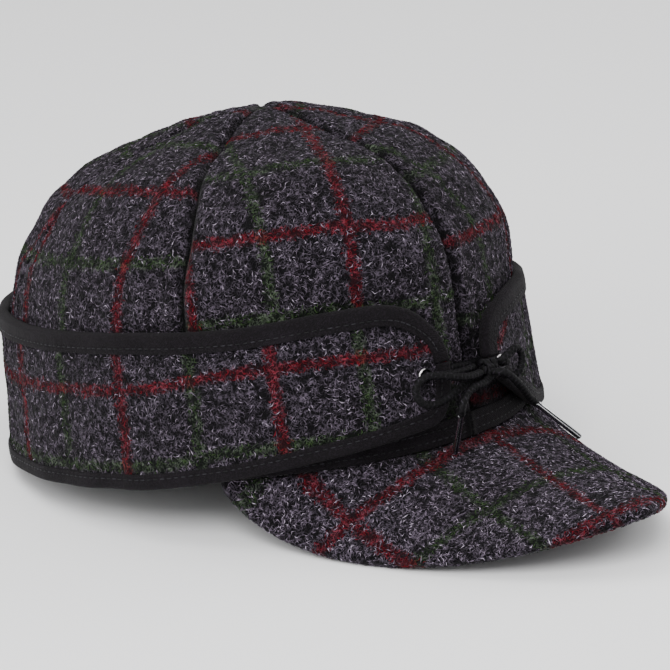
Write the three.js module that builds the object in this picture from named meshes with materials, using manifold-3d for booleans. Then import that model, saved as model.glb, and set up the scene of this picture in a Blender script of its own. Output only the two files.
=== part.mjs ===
// Six-panel wool cap with a stitched visor and a fold-up ear band laced at the front.
// Everything is drawn in the hat's own frame first: rim plane at z = 0, front towards -Y,
// wearer's left towards +X. At the end the hat is tipped back until it rests by itself on
// the back of its rim and on the two low sides of the visor. Millimetres.
import * as THREE from 'three';
import { mergeVertices } from 'three/addons/utils/BufferGeometryUtils.js';
import Module from 'manifold-3d';

// ---- head and crown
const halfLength = 104.6;         // outside of the crown at the rim, front to back
const halfWidth = 86.2;          // outside of the crown at the rim, side to side
const eggShare = 0.045;          // how much the back of the oval is fuller than the front
const crownHeight = 119.4;       // rim plane to the middle of the top
const crownWall = 2.4;           // wool and lining together
const panelSeams = [2.5, 64, 121, 180, 239, 295.5];    // degrees round from the middle of the front
const seamGap = 0.3;
const panelPuff = 3.0;           // how far the middle of a panel stands over its seams

// crown profile, rim to top: height share, girth share, shift of the oval to the front
const crownRows = [
  { height: 0.000, girth: 1.000, forward: 0.000 },
  { height: 0.150, girth: 0.999, forward: 0.000 },
  { height: 0.300, girth: 0.993, forward: 0.001 },
  { height: 0.450, girth: 0.988, forward: 0.011 },
  { height: 0.600, girth: 0.952, forward: 0.030 },
  { height: 0.703, girth: 0.868, forward: 0.053 },
  { height: 0.793, girth: 0.778, forward: 0.064 },
  { height: 0.869, girth: 0.643, forward: 0.071 },
  { height: 0.921, girth: 0.445, forward: 0.083 },
  { height: 0.966, girth: 0.257, forward: 0.105 },
  { height: 0.988, girth: 0.129, forward: 0.135 },
  { height: 0.997, girth: 0.008, forward: 0.160 },
];

// ---- ear band
const bandWall = 2.4;
const bandStand = 3.0;           // band's inner face from the crown
const noseLift = 2.8;            // extra stand at the two wing tips, where the lace passes
const bandLean = 5.0;            // the band is this much wider at its foot than at its top
const snugStand = 0.85;          // the wearer's left side hugs the crown: this much less stand,
const snugLean = 3.9;            // and this much less lean
const backRise = 2.0;            // the top edge climbs this much towards the back
const sideSag = 1.0;             // the rim hangs this much lower at the sides than behind
const leftNose = 3.7;            // degrees, tip of the wearer's left wing
const rightNose = -8.2;         // degrees, tip of the wearer's right wing
// wing outlines: distance back from the tip, height of the lower and of the upper edge
const wingRows = [
  { back: 0.0, rightLow: 30.5, rightHigh: 30.6, leftLow: 27.0, leftHigh: 27.1 },
  { back: 0.5, rightLow: 26.6, rightHigh: 35.4, leftLow: 23.8, leftHigh: 31.0 },
  { back: 1.4, rightLow: 22.0, rightHigh: 38.6, leftLow: 22.2, leftHigh: 34.2 },
  { back: 2.8, rightLow: 17.4, rightHigh: 41.5, leftLow: 20.8, leftHigh: 37.4 },
  { back: 5.0, rightLow: 13.4, rightHigh: 44.7, leftLow: 18.7, leftHigh: 40.4 },
  { back: 8.2, rightLow: 10.8, rightHigh: 48.3, leftLow: 15.8, leftHigh: 42.3 },
  { back: 12.5, rightLow: 9.7, rightHigh: 51.3, leftLow: 12.3, leftHigh: 43.8 },
  { back: 18.0, rightLow: 9.1, rightHigh: 53.3, leftLow: 8.3, leftHigh: 45.4 },
  { back: 26.0, rightLow: 7.9, rightHigh: 54.2, leftLow: 3.8, leftHigh: 46.7 },
  { back: 36.0, rightLow: 6.6, rightHigh: 54.2, leftLow: 0.6, leftHigh: 47.3 },
  { back: 50.0, rightLow: 4.9, rightHigh: 53.6, leftLow: -0.8, leftHigh: 47.4 },
  { back: 70.0, rightLow: 2.6, rightHigh: 52.6, leftLow: -1.0, leftHigh: 47.4 },
  { back: 90.0, rightLow: 0.6, rightHigh: 52.6, leftLow: -1.0, leftHigh: 47.4 },
  { back: 115.0, rightLow: -0.8, rightHigh: 53.4, leftLow: -1.0, leftHigh: 47.4 },
];

// ---- bound edges
const tape = 0.8;                // thickness of the binding tape
const tapeGap = 0.3;
const upperWidth = 6.2;
const lowerWidth = 4.8;
const hemWidth = 8.0;

// ---- visor
const visorReach = 85.5;           // forward of the rim, straight ahead
const visorEnd = 62;             // degrees, where its corners meet the rim
const visorSeat = -3;            // where its root lies, from the outside of the crown
const visorSkin = 2.1;           // each of the two wool covers
const visorGap = 0.3;
const visorDrop = -4.1;          // middle of the visor at the rim, below the rim plane
const slopeAhead = 11.8;         // degrees down, straight ahead
const slopeAside = 69;           // degrees down, at the corners
const visorSide = 1.3;          // how pointed the outline is, seen from above
const visorFront = 1.15;
const visorDish = 0.02;

// ---- lace
const cord = 3.0;
const eyeletHole = 1.8;          // radius
const eyeletRim = 2.8;
const eyeletBack = { right: 9.3, left: 5.0 };     // from the wing tip
const eyeletHeight = { right: 27.5, left: 24.2 };
const knotAt = [-3.6, -121.6, 25.6];
const knotSize = [4.2, 3.5, 4.2];
const agletRadius = 1.15;
const settle = 0.6;              // cloth pressed flat where the hat rests

const rad = THREE.MathUtils.degToRad;
const clamp = THREE.MathUtils.clamp;
const smooth = THREE.MathUtils.smoothstep;

// smooth value from a table: rows are evenly spaced stations of u from 0 to 1
function station(rows, u, key) {
  const last = rows.length - 1;
  const place = clamp(u, 0, 1) * last;
  const i = Math.min(Math.floor(place), last - 1);
  const f = place - i;
  const b = rows[i][key], c = rows[i + 1][key];
  const a = i > 0 ? rows[i - 1][key] : 2 * b - c;
  const d = i < last - 1 ? rows[i + 2][key] : 2 * c - b;
  return 0.5 * (2 * b + (c - a) * f + (2 * a - 5 * b + 4 * c - d) * f * f
    + (3 * b - a - 3 * c + d) * f * f * f);
}

// straight-line value from a table by one of its own columns
function along(rows, from, value, key) {
  if (value <= rows[0][from]) return rows[0][key];
  for (let i = 1; i < rows.length; i += 1) {
    const a = rows[i - 1], b = rows[i];
    if (value <= b[from]) {
      return a[key] + (b[key] - a[key]) * (value - a[from]) / (b[from] - a[from]);
    }
  }
  return rows[rows.length - 1][key];
}

const oval = (t, out) => [(halfWidth + out) * Math.sin(t) * (1 - eggShare * Math.cos(t)),
  -(halfLength + out) * Math.cos(t)];

// plain crown skin before the panels are puffed
function crownSkin(u, t) {
  const girth = station(crownRows, u, 'girth');
  const [x, y] = oval(t, 0);
  return new THREE.Vector3(x * girth,
    y * girth - halfLength * station(crownRows, u, 'forward'),
    crownHeight * station(crownRows, u, 'height'));
}

function crownNormal(u, t) {
  const e = 0.004;
  const du = crownSkin(Math.min(u + e, 1), t).sub(crownSkin(Math.max(u - e, 0), t));
  const dt = crownSkin(u, t + e).sub(crownSkin(u, t - e));
  return dt.cross(du).normalize();
}

// point on a panel: f runs 0..1 across it, u rim to top, depth goes inward
function crownPoint(u, t, f, depth) {
  const n = crownNormal(u, t);
  const spread = smooth(u, 0.20, 0.55) * (1 - smooth(u, 0.80, 1.0));
  const puff = panelPuff * spread * (0.3 - Math.abs(2 * f - 1) ** 3);
  return crownSkin(u, t).addScaledVector(n, puff - depth);
}

// closed body between two skins given as grids of points [row][column]
function solidBetween(front, back, ring) {
  const rows = front.length, cols = front[0].length;
  const xyz = [], index = [];
  for (const skin of [front, back]) for (const row of skin) for (const p of row) xyz.push(p.x, p.y, p.z);
  const id = (side, r, c) => side * rows * cols + r * cols + (c % cols);
  const quad = (a, b, c, d) => index.push(a, b, c, a, c, d);
  const across = ring ? cols : cols - 1;
  for (let r = 0; r < rows - 1; r += 1) {
    for (let c = 0; c < across; c += 1) {
      quad(id(0, r, c), id(0, r, c + 1), id(0, r + 1, c + 1), id(0, r + 1, c));
      quad(id(1, r, c), id(1, r + 1, c), id(1, r + 1, c + 1), id(1, r, c + 1));
    }
  }
  for (let c = 0; c < across; c += 1) {
    quad(id(0, 0, c), id(1, 0, c), id(1, 0, c + 1), id(0, 0, c + 1));
    quad(id(0, rows - 1, c), id(0, rows - 1, c + 1), id(1, rows - 1, c + 1), id(1, rows - 1, c));
  }
  if (!ring) {
    for (let r = 0; r < rows - 1; r += 1) {
      quad(id(0, r, 0), id(0, r + 1, 0), id(1, r + 1, 0), id(1, r, 0));
      quad(id(0, r, cols - 1), id(1, r, cols - 1), id(1, r + 1, cols - 1), id(0, r + 1, cols - 1));
    }
  }
  return outward(toGeometry(xyz, index));
}

// closed body swept from loops of points, one loop for each step
function sweepLoops(loops, ring) {
  const n = loops[0].length, steps = loops.length;
  const xyz = [], index = [];
  for (const loop of loops) for (const p of loop) xyz.push(p.x, p.y, p.z);
  for (let s = 0; s < (ring ? steps : steps - 1); s += 1) {
    for (let k = 0; k < n; k += 1) {
      const a = s * n + k, b = s * n + (k + 1) % n;
      const c = ((s + 1) % steps) * n + (k + 1) % n, d = ((s + 1) % steps) * n + k;
      index.push(a, b, c, a, c, d);
    }
  }
  if (!ring) {
    const caps = THREE.ShapeUtils.triangulateShape(profileFlat(), []);
    for (const [a, b, c] of caps) {
      index.push(a, c, b);
      const e = (steps - 1) * n;
      index.push(e + a, e + b, e + c);
    }
  }
  return outward(toGeometry(xyz, index));
}

function toGeometry(xyz, index) {
  const g = new THREE.BufferGeometry();
  g.setAttribute('position', new THREE.Float32BufferAttribute(xyz, 3));
  g.setIndex(index);
  return g;
}

// turn the faces over if the body's volume comes out negative
function outward(g) {
  const p = g.attributes.position, ix = g.index.array;
  const a = new THREE.Vector3(), b = new THREE.Vector3(), c = new THREE.Vector3();
  let volume = 0;
  for (let i = 0; i < ix.length; i += 3) {
    a.fromBufferAttribute(p, ix[i]);
    b.fromBufferAttribute(p, ix[i + 1]);
    c.fromBufferAttribute(p, ix[i + 2]);
    volume += a.dot(b.cross(c));
  }
  if (volume < 0) for (let i = 0; i < ix.length; i += 3) [ix[i + 1], ix[i + 2]] = [ix[i + 2], ix[i + 1]];
  return g;
}

// ---- crown panels
function crownPanel(k) {
  const from = panelSeams[k], to = k < 5 ? panelSeams[k + 1] : panelSeams[0] + 360;
  const across = 8, up = 17, front = [], back = [];
  for (let r = 0; r <= up; r += 1) {
    const u = r / up;
    const girth = (halfLength + halfWidth) / 2 * station(crownRows, u, 'girth');
    const trim = THREE.MathUtils.radToDeg(seamGap / 2 / Math.max(girth, 0.6));
    const outer = [], inner = [];
    for (let c = 0; c <= across; c += 1) {
      const f = c / across;
      const t = rad(from + trim + (to - from - 2 * trim) * f);
      outer.push(crownPoint(u, t, f, 0));
      inner.push(crownPoint(u, t, f, crownWall));
    }
    front.push(outer);
    back.push(inner);
  }
  return solidBetween(front, back, false);
}

// ---- ear band, laid out flat as (distance round from the left wing tip, height)
const ringSteps = 1440;
const ringLength = [0];
const ringAngle = (i) => rad(leftNose) + i / ringSteps * rad(360 + rightNose - leftNose);
for (let i = 1; i <= ringSteps; i += 1) {
  const [ax, ay] = oval(ringAngle(i - 1), bandStand), [bx, by] = oval(ringAngle(i), bandStand);
  ringLength.push(ringLength[i - 1] + Math.hypot(bx - ax, by - ay));
}
const bandLength = ringLength[ringSteps];
function angleAt(s) {
  if (s <= 0) return ringAngle(s / ringLength[1]);
  if (s >= bandLength) {
    return ringAngle(ringSteps + (s - bandLength) / (bandLength - ringLength[ringSteps - 1]));
  }
  let low = 0, high = ringSteps;
  while (high - low > 1) {
    const mid = (low + high) >> 1;
    if (ringLength[mid] > s) high = mid; else low = mid;
  }
  return ringAngle(low + (s - ringLength[low]) / (ringLength[high] - ringLength[low]));
}
const tipDistance = (s) => Math.min(s, bandLength - s);
const standAt = (s) => bandStand + noseLift * (1 - smooth(tipDistance(s), 16, 62));
const leftRise = 6.0;            // the top edge behind the left wing comes up again by this much
const wingOf = (s) => (s < bandLength / 2 ? 'left' : 'right');
const bandHigh = (s) => along(wingRows, 'back', tipDistance(s), `${wingOf(s)}High`)
  + backRise * smooth(tipDistance(s), 140, 250)
  + (wingOf(s) === 'left' ? leftRise * smooth(tipDistance(s), 95, 285) : 0);
const bandLow = (s) => along(wingRows, 'back', tipDistance(s), `${wingOf(s)}Low`)
  + sideSag * smooth(tipDistance(s), 150, 250);

// out is measured from the middle of the band's cloth
function bandPoint(s, z, out) {
  const t = angleAt(s);
  const snug = smooth(Math.sin(t), 0, 0.42);
  const lean = (bandLean - snugLean * snug) * (0.5 - z / 54);
  const [x, y] = oval(t, standAt(s) - snugStand * snug + bandWall / 2 + lean + out);
  return new THREE.Vector3(x, y, z);
}

function bandColumns() {
  const stops = wingRows.map((row) => row.back);
  const first = stops[stops.length - 1];
  const middle = [];
  const count = 30;
  for (let i = 1; i < count; i += 1) middle.push(first + (bandLength - 2 * first) * i / count);
  const all = [...stops, ...middle, ...stops.map((b) => bandLength - b).reverse()];
  return all.flatMap((s, i) => (i && s - all[i - 1] > 12.5 ? [(s + all[i - 1]) / 2, s] : [s]));
}

function bandBody() {
  const cols = bandColumns(), up = 4, front = [], back = [];
  for (let r = 0; r <= up; r += 1) {
    const outer = [], inner = [];
    for (const s of cols) {
      const z = bandLow(s) + (bandHigh(s) - bandLow(s)) * r / up;
      outer.push(bandPoint(s, z, bandWall / 2));
      inner.push(bandPoint(s, z, -bandWall / 2));
    }
    front.push(outer);
    back.push(inner);
  }
  return solidBetween(front, back, false);
}

// ---- binding: a tape folded over an edge; wide is how far its legs reach over the cloth
const half = bandWall / 2 + tapeGap;
function foldLoop(wide, inside, outside) {
  const foot = -tapeGap - tape;
  return [[wide, inside], [wide, outside], [foot, outside * 0.8], [foot, -outside * 0.8],
    [wide, -outside], [wide, -inside], [-tapeGap, -inside], [-tapeGap, inside]];
}
const profileFlat = () => foldLoop(6, half, half + tape).map(([a, b]) => new THREE.Vector2(a, b));

function bandBinding(upper) {
  const edge = upper ? bandHigh : bandLow;
  const width = upper ? upperWidth : lowerWidth;
  const stops = bandColumns();
  const path = stops.map((s) => [s, edge(s)]);
  const start = 0.25;
  const tips = [wingRows[0].leftLow, wingRows[0].rightLow].map((z) => z + 0.05 + (upper ? start : -start));
  path[0] = [0.02, tips[0]];
  path[path.length - 1] = [bandLength - 0.02, tips[1]];
  const loops = path.map(([s, z], i) => {
    const [s0, z0] = path[Math.max(i - 1, 0)], [s1, z1] = path[Math.min(i + 1, path.length - 1)];
    const length = Math.hypot(s1 - s0, z1 - z0);
    const ends = i === 0 || i === path.length - 1;
    let ds = (s1 - s0) / length, dz = (z1 - z0) / length;
    if (ends) [ds, dz] = [0, (i === 0) === upper ? 1 : -1];
    const inward = upper ? [dz, -ds] : [-dz, ds];
    const wide = lowerWidth + (width - lowerWidth) * smooth(tipDistance(s), 0, 10);
    return foldLoop(wide, half, half + tape)
      .map(([w, out]) => bandPoint(s + inward[0] * w, z + inward[1] * w, out));
  });
  return sweepLoops(loops, false);
}

// hem tape right round the bottom edge of the crown
function hemBinding() {
  const loops = [];
  const steps = 50;
  for (let i = 0; i < steps; i += 1) {
    const t = i / steps * 2 * Math.PI;
    const mid = -crownWall / 2;
    loops.push(foldLoop(hemWidth, crownWall / 2 + tapeGap, crownWall / 2 + tapeGap + tape)
      .map(([w, out]) => {
        const girth = station(crownRows, clamp(w, 0, 9) / crownHeight / 0.15 / 11, 'girth');
        const [x, y] = oval(t, mid + out);
        return new THREE.Vector3(x * girth, y * girth, w);
      }));
  }
  return sweepLoops(loops, true);
}

// ---- visor: s runs -1..1 across, v from the rim to the front edge
function visorMiddle(s, v) {
  const [rx, ry] = oval(rad(visorEnd) * s, visorSeat);
  const [cx, cy] = oval(rad(visorEnd), visorSeat);
  const turn = s * Math.PI / 2;
  const ox = cx * Math.sign(s) * Math.abs(Math.sin(turn)) ** visorSide;
  const oy = cy - (halfLength + visorSeat + cy + visorReach) * Math.max(Math.cos(turn), 0) ** visorFront;
  const span = Math.hypot(ox - rx, oy - ry);
  const slope = rad(slopeAhead + (slopeAside - slopeAhead) * s * s);
  return new THREE.Vector3(rx + (ox - rx) * v, ry + (oy - ry) * v,
    visorDrop - span * Math.tan(slope) * v - visorDish * 4 * v * (1 - v) * span);
}

function visorPoint(s, v, lift) {
  const e = 0.01;
  const sc = clamp(s, -1 + e, 1 - e), vc = clamp(v, e, 1 - e);
  const ds = visorMiddle(sc + e, vc).sub(visorMiddle(sc - e, vc));
  const dv = visorMiddle(sc, vc + e).sub(visorMiddle(sc, vc - e));
  const n = dv.cross(ds).normalize();
  if (n.z < 0) n.negate();
  return visorMiddle(s, v).addScaledVector(n, lift);
}

function visorCover(top) {
  const across = 24, out = 6, near = [], far = [];
  const low = top ? visorGap / 2 : -visorGap / 2 - visorSkin;
  for (let r = 0; r <= out; r += 1) {
    const a = [], b = [];
    for (let c = 0; c <= across; c += 1) {
      const s = 0.985 * Math.sin((c / across - 0.5) * Math.PI);
      a.push(visorPoint(s, r / out, low + visorSkin));
      b.push(visorPoint(s, r / out, low));
    }
    near.push(a);
    far.push(b);
  }
  return solidBetween(near, far, false);
}

// ---- lace, knot, eyelets and cord tips
const point = ([x, y, z]) => new THREE.Vector3(x, y, z);
function strand(route, steps, diameter) {
  const round = new THREE.Shape();
  for (let k = 0; k < 8; k += 1) {
    const a = k / 8 * 2 * Math.PI;
    const p = [diameter / 2 * Math.cos(a), diameter / 2 * Math.sin(a)];
    if (k === 0) round.moveTo(...p); else round.lineTo(...p);
  }
  round.closePath();
  const path = new THREE.CatmullRomCurve3(route.map(point), false, 'centripetal');
  return new THREE.ExtrudeGeometry(round, { steps, extrudePath: path, bevelEnabled: false });
}

// a strand's end is brought up against the skin of the knot, in the direction given
function atKnot(p) {
  const centre = point(knotAt);
  const d = point(p).sub(centre);
  const reach = Math.hypot(d.x / knotSize[0], d.y / knotSize[1], d.z / knotSize[2]);
  const skin = d.clone().divideScalar(reach);
  return centre.add(skin).addScaledVector(d.normalize(), 0.9).toArray();
}
const tieStart = ([first, ...rest]) => [atKnot(first), ...rest];
const tieBoth = (route) => [atKnot(route[0]), ...route.slice(1, -1), atKnot(route[route.length - 1])];

const loopRight = tieBoth([[-9.7, -123.4, 25.7], [-15.7, -124.8, 26.3], [-21.5, -124.9, 27.5],
  [-28.2, -123.8, 29.7], [-32.9, -121.8, 30.4], [-36.6, -120.4, 28.3], [-37.2, -119.8, 25.0],
  [-35.4, -120.0, 21.6], [-31.0, -120.6, 19.7], [-24.1, -121.2, 20.4], [-18.4, -121.2, 22.2],
  [-13.4, -120.4, 23.2], [-10.2, -120.4, 23.3], [-7.3, -120.6, 23.2]]);
const loopLeft = tieBoth([[-1.0, -122.6, 26.6], [1.0, -123.8, 27.7], [3.7, -124.4, 29.0],
  [6.7, -124.4, 30.2], [9.3, -124.3, 30.0], [10.9, -124.3, 27.8], [10.8, -124.2, 24.9],
  [9.6, -123.8, 22.2], [8.1, -122.6, 20.7], [5.6, -120.9, 21.0], [1.9, -120.2, 22.9]]);
const agletRight = [[-22.7, -125.1, 14.5], [-17.0, -112.8, -1.9]];
const agletLeft = [[11.6, -127.1, 9.8], [30.1, -128.0, -7.9]];
// a tail ends in line with its metal tip and just short of it
function intoTip([from, to]) {
  const line = point(to).sub(point(from)).normalize();
  return [3.0, 0.35].map((back) => point(from).addScaledVector(line, -back).toArray());
}
const tailRight = [...tieStart([[-6.7, -123.8, 22.7], [-11.1, -125.4, 22.4], [-16.1, -125.9, 22.3],
  [-19.7, -126.0, 20.0], [-21.9, -125.7, 17.3]]), ...intoTip(agletRight)];
const tailLeft = [...tieStart([[-4.2, -125.0, 25.1], [-3.7, -127.4, 25.1], [-1.2, -128.6, 23.6],
  [2.2, -128.6, 20.3], [6.5, -127.9, 15.5]]), ...intoTip(agletLeft)];

function eyeletPlace(side) {
  const s = side === 'left' ? eyeletBack.left : bandLength - eyeletBack.right;
  const z = eyeletHeight[side];
  const middle = bandPoint(s, z, 0);
  const axis = bandPoint(s, z, 1).sub(middle).normalize();
  return { middle, axis };
}

function leadRoute(side) {
  const { middle, axis } = eyeletPlace(side);
  const knot = point(knotAt);
  const sideways = side === 'left' ? 1 : -1;
  const off = (d) => middle.clone().addScaledVector(axis, d);
  const mouth = off(4.6);
  const end = point(atKnot([knot.x + sideways * 3.8, knot.y + 2.1, knot.z + 1.6]));
  const bend = mouth.clone().lerp(end, 0.5);
  bend.y = Math.min(mouth.y, end.y) - 0.2;
  return [off(0.3), off(2.4), mouth, bend, end].map((p) => p.toArray());
}

function crossRoute() {
  const route = [];
  const from = leftNose + 2.9, to = rightNose - 5.2;
  for (let i = 0; i <= 6; i += 1) {
    const t = rad(from + (to - from) * i / 6);
    const [x, y] = oval(t, 2.55);
    route.push([x, y, 24.8 + 0.45 * i]);
  }
  return route;
}

function eyelet(side) {
  const { middle, axis } = eyeletPlace(side);
  const face = bandWall / 2 + 0.5, lip = 0.4, barrel = eyeletHole + 0.5;
  const profile = [[eyeletHole, -face - lip], [eyeletRim, -face - lip], [eyeletRim, -face],
    [barrel, -face], [barrel, face], [eyeletRim, face], [eyeletRim, face + lip * 0.6],
    [eyeletRim - 0.5, face + lip], [eyeletHole + 0.3, face + lip], [eyeletHole, face + lip * 0.6],
    [eyeletHole, -face - lip]].map(([x, y]) => new THREE.Vector2(x, y));
  const g = new THREE.LatheGeometry(profile, 14);
  turnTo(g, axis, middle);
  return outward(joined(g));
}

function turnTo(g, axis, place) {
  const q = new THREE.Quaternion().setFromUnitVectors(new THREE.Vector3(0, 1, 0), axis);
  g.applyQuaternion(q);
  g.translate(place.x, place.y, place.z);
}

function joined(g) {
  const bare = g.clone();
  bare.deleteAttribute('normal');
  bare.deleteAttribute('uv');
  return mergeVertices(bare, 1e-4);
}

function aglet([from, to]) {
  const a = point(from), b = point(to);
  const length = a.distanceTo(b), r = agletRadius;
  const profile = [[0, 0], [r, 0], [r, length * 0.94], [r * 0.7, length], [0, length]]
    .map(([x, y]) => new THREE.Vector2(x, y));
  const g = new THREE.LatheGeometry(profile, 12);
  turnTo(g, b.clone().sub(a).normalize(), a);
  return outward(joined(g));
}

function knot() {
  const g = new THREE.SphereGeometry(1, 12, 8);
  g.scale(...knotSize);
  g.translate(...knotAt);
  return outward(joined(g));
}

// the wing tips are pierced for their eyelets, and the left one's tape is cut round its ring
const wasm = await Module();
wasm.setup();
function toSolid(g) {
  const m = joined(g);
  return new wasm.Manifold(new wasm.Mesh({
    numProp: 3,
    vertProperties: new Float32Array(m.attributes.position.array),
    triVerts: new Uint32Array(m.index.array),
  }));
}

function pierced(g, sides, radius) {
  let body = toSolid(g);
  for (const side of sides) {
    const { middle, axis } = eyeletPlace(side);
    const drill = new THREE.CylinderGeometry(radius, radius, 12, 16);
    turnTo(drill, axis, middle);
    body = body.subtract(toSolid(outward(joined(drill))));
  }
  const mesh = body.getMesh();
  return toGeometry(mesh.vertProperties, Array.from(mesh.triVerts));
}

// ---- materials
const look = (color, roughness, metalness = 0) => new THREE.MeshStandardMaterial({ color, roughness, metalness });
const wool = look(0x3b383d, 0.95);
const visorWool = look(0x35322f, 0.95);
const binding = look(0x222023, 0.8);
const lace = look(0x161517, 0.7);
const steel = look(0xb9bcc0, 0.22, 1);

// name, geometry, material, whether it is cloth that flattens where it rests
const pieces = [
  ...[0, 1, 2, 3, 4, 5].map((k) => [
    ['crown_front_left', 'crown_side_left', 'crown_back_left', 'crown_back_right',
      'crown_side_right', 'crown_front_right'][k], crownPanel(k), wool, true]),
  ['hem_binding', hemBinding(), binding, true],
  ['ear_band', pierced(bandBody(), ['left', 'right'], eyeletHole + 0.85), wool, true],
  ['upper_binding', bandBinding(true), binding, true],
  ['lower_binding', pierced(bandBinding(false), ['left'], eyeletRim + 0.12), binding, true],
  ['visor_top', visorCover(true), visorWool, true],
  ['visor_under', visorCover(false), visorWool, true],
  ['eyelet_left', eyelet('left'), steel, false],
  ['eyelet_right', eyelet('right'), steel, false],
  ['lace_cross', strand(crossRoute(), 7, cord), lace, false],
  ['lace_lead_left', strand(leadRoute('left'), 8, cord), lace, false],
  ['lace_lead_right', strand(leadRoute('right'), 8, cord), lace, false],
  ['bow_knot', knot(), lace, false],
  ['bow_loop_left', strand(loopLeft, 14, cord), lace, false],
  ['bow_loop_right', strand(loopRight, 20, cord), lace, false],
  ['bow_tail_left', strand(tailLeft, 7, cord), lace, false],
  ['bow_tail_right', strand(tailRight, 7, cord), lace, false],
  ['aglet_left', aglet(agletLeft), steel, false],
  ['aglet_right', aglet(agletRight), steel, false],
];

// ---- tip the hat back until the rear of the rim and the visor stand equally low
const verticesOf = (names) => pieces.filter(([name]) => names.includes(name)).flatMap(([, g]) => {
  const p = g.attributes.position;
  return Array.from({ length: p.count }, (_, i) => [p.getY(i), p.getZ(i)]);
});
const rimPoints = verticesOf(['hem_binding', 'lower_binding']);
const visorPoints = verticesOf(['visor_under']);
const lowest = (list, tip) => list.reduce((m, [y, z]) => Math.min(m, z * Math.cos(tip) - y * Math.sin(tip)), 1e9);
let level = [0, rad(25)];
for (let i = 0; i < 40; i += 1) {
  const tip = (level[0] + level[1]) / 2;
  if (lowest(rimPoints, tip) < lowest(visorPoints, tip)) level = [level[0], tip]; else level = [tip, level[1]];
}
const restTip = level[0];
const ground = lowest(rimPoints, restTip) + settle;

const centre = new THREE.Box3();
for (const [, g, , cloth] of pieces) {
  g.rotateX(-restTip);
  g.translate(0, 0, -ground);
  const p = g.attributes.position;
  if (cloth) for (let i = 0; i < p.count; i += 1) p.setZ(i, Math.max(p.getZ(i), 0));
  g.computeBoundingBox();
  centre.union(g.boundingBox);
}
const middleX = (centre.min.x + centre.max.x) / 2, middleY = (centre.min.y + centre.max.y) / 2;

const hat = new THREE.Group();
for (const [name, g, material] of pieces) {
  g.translate(-middleX, -middleY, 0);
  g.computeVertexNormals();
  const mesh = new THREE.Mesh(g, material);
  mesh.name = name;
  hat.add(mesh);
}

export default hat;
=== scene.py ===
import math
import bpy
import numpy as np
from mathutils import Matrix, Vector


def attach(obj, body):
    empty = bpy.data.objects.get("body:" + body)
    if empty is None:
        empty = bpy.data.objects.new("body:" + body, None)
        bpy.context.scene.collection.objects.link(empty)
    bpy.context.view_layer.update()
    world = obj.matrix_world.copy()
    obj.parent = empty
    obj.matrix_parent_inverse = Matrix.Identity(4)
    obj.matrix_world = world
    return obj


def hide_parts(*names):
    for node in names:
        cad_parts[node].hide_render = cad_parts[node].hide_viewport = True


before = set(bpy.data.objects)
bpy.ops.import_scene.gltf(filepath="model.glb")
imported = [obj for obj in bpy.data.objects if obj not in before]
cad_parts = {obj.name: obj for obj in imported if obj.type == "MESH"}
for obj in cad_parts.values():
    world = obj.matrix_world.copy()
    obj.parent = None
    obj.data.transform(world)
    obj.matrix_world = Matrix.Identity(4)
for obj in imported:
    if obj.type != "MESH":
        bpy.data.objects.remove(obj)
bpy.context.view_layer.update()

print("cap: frame loaded")

# The cap is drawn in its own frame in millimetres (rim plane at z = 0, front towards -Y,
# wearer's left towards +X), then tipped back and set down the way it rests.
rest = {
    "tip": math.radians(7.972033),
    "ground": -15.975817,
    "middleX": -1.222889,
    "middleY": -36.799610,
}


def turned(p):  # a direction of the cap as it stands
    c, s = math.cos(rest["tip"]), math.sin(rest["tip"])
    return np.stack([p[..., 0], p[..., 1] * c + p[..., 2] * s, p[..., 2] * c - p[..., 1] * s], -1)


def settled(p, cloth=True):  # cap millimetres to metres on the floor
    q = turned(np.asarray(p, float)) - [rest["middleX"], rest["middleY"], rest["ground"]]
    if cloth:
        q[..., 2] = np.maximum(q[..., 2], 0.02)
    return q / 1000


# camera, worked out from how the cap's landmarks fall in the picture
camera = {
    "azimuth": -39.5,
    "elevation": 12.5,
    "roll": -9.2,
    "distance": 1250.0,  # from the middle of the rim plane
    "pixelsPerMm": 2.63,
    "picture": 670,
    "rimMiddleAt": (279.8, 414.9),  # the same point in the picture
    "sensor": 36.0,
}


def placeCamera():
    a, e, r = (math.radians(camera[k]) for k in ("azimuth", "elevation", "roll"))
    back = np.array([math.sin(a) * math.cos(e), -math.cos(a) * math.cos(e), math.sin(e)])
    flat = np.array([math.cos(a), math.sin(a), 0.0])
    rise = np.cross(back, flat)
    right = math.cos(r) * flat + math.sin(r) * rise
    up = math.cos(r) * rise - math.sin(r) * flat
    focal = camera["pixelsPerMm"] * camera["distance"]
    middle = camera["picture"] / 2
    dx, dy = middle - camera["rimMiddleAt"][0], camera["rimMiddleAt"][1] - middle
    forward = -back * focal + right * dx + up * dy
    forward /= np.linalg.norm(forward)
    right = np.cross(forward, up)
    right /= np.linalg.norm(right)
    up = np.cross(right, forward)
    data = bpy.data.cameras.new("photo_view")
    data.sensor_width = camera["sensor"]
    data.sensor_fit = "HORIZONTAL"
    data.lens = focal / camera["picture"] * camera["sensor"]
    data.clip_end = 20
    view = bpy.data.objects.new("photo_view", data)
    bpy.context.scene.collection.objects.link(view)
    axes = [Vector(turned(v)) for v in (right, up, -forward)]
    view.matrix_world = Matrix.Translation(Vector(settled(back * camera["distance"], False))) @ Matrix(
        [[axes[c][r] for c in range(3)] for r in range(3)]).to_4x4()
    bpy.context.scene.camera = view


placeCamera()

# mesh helpers

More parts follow.
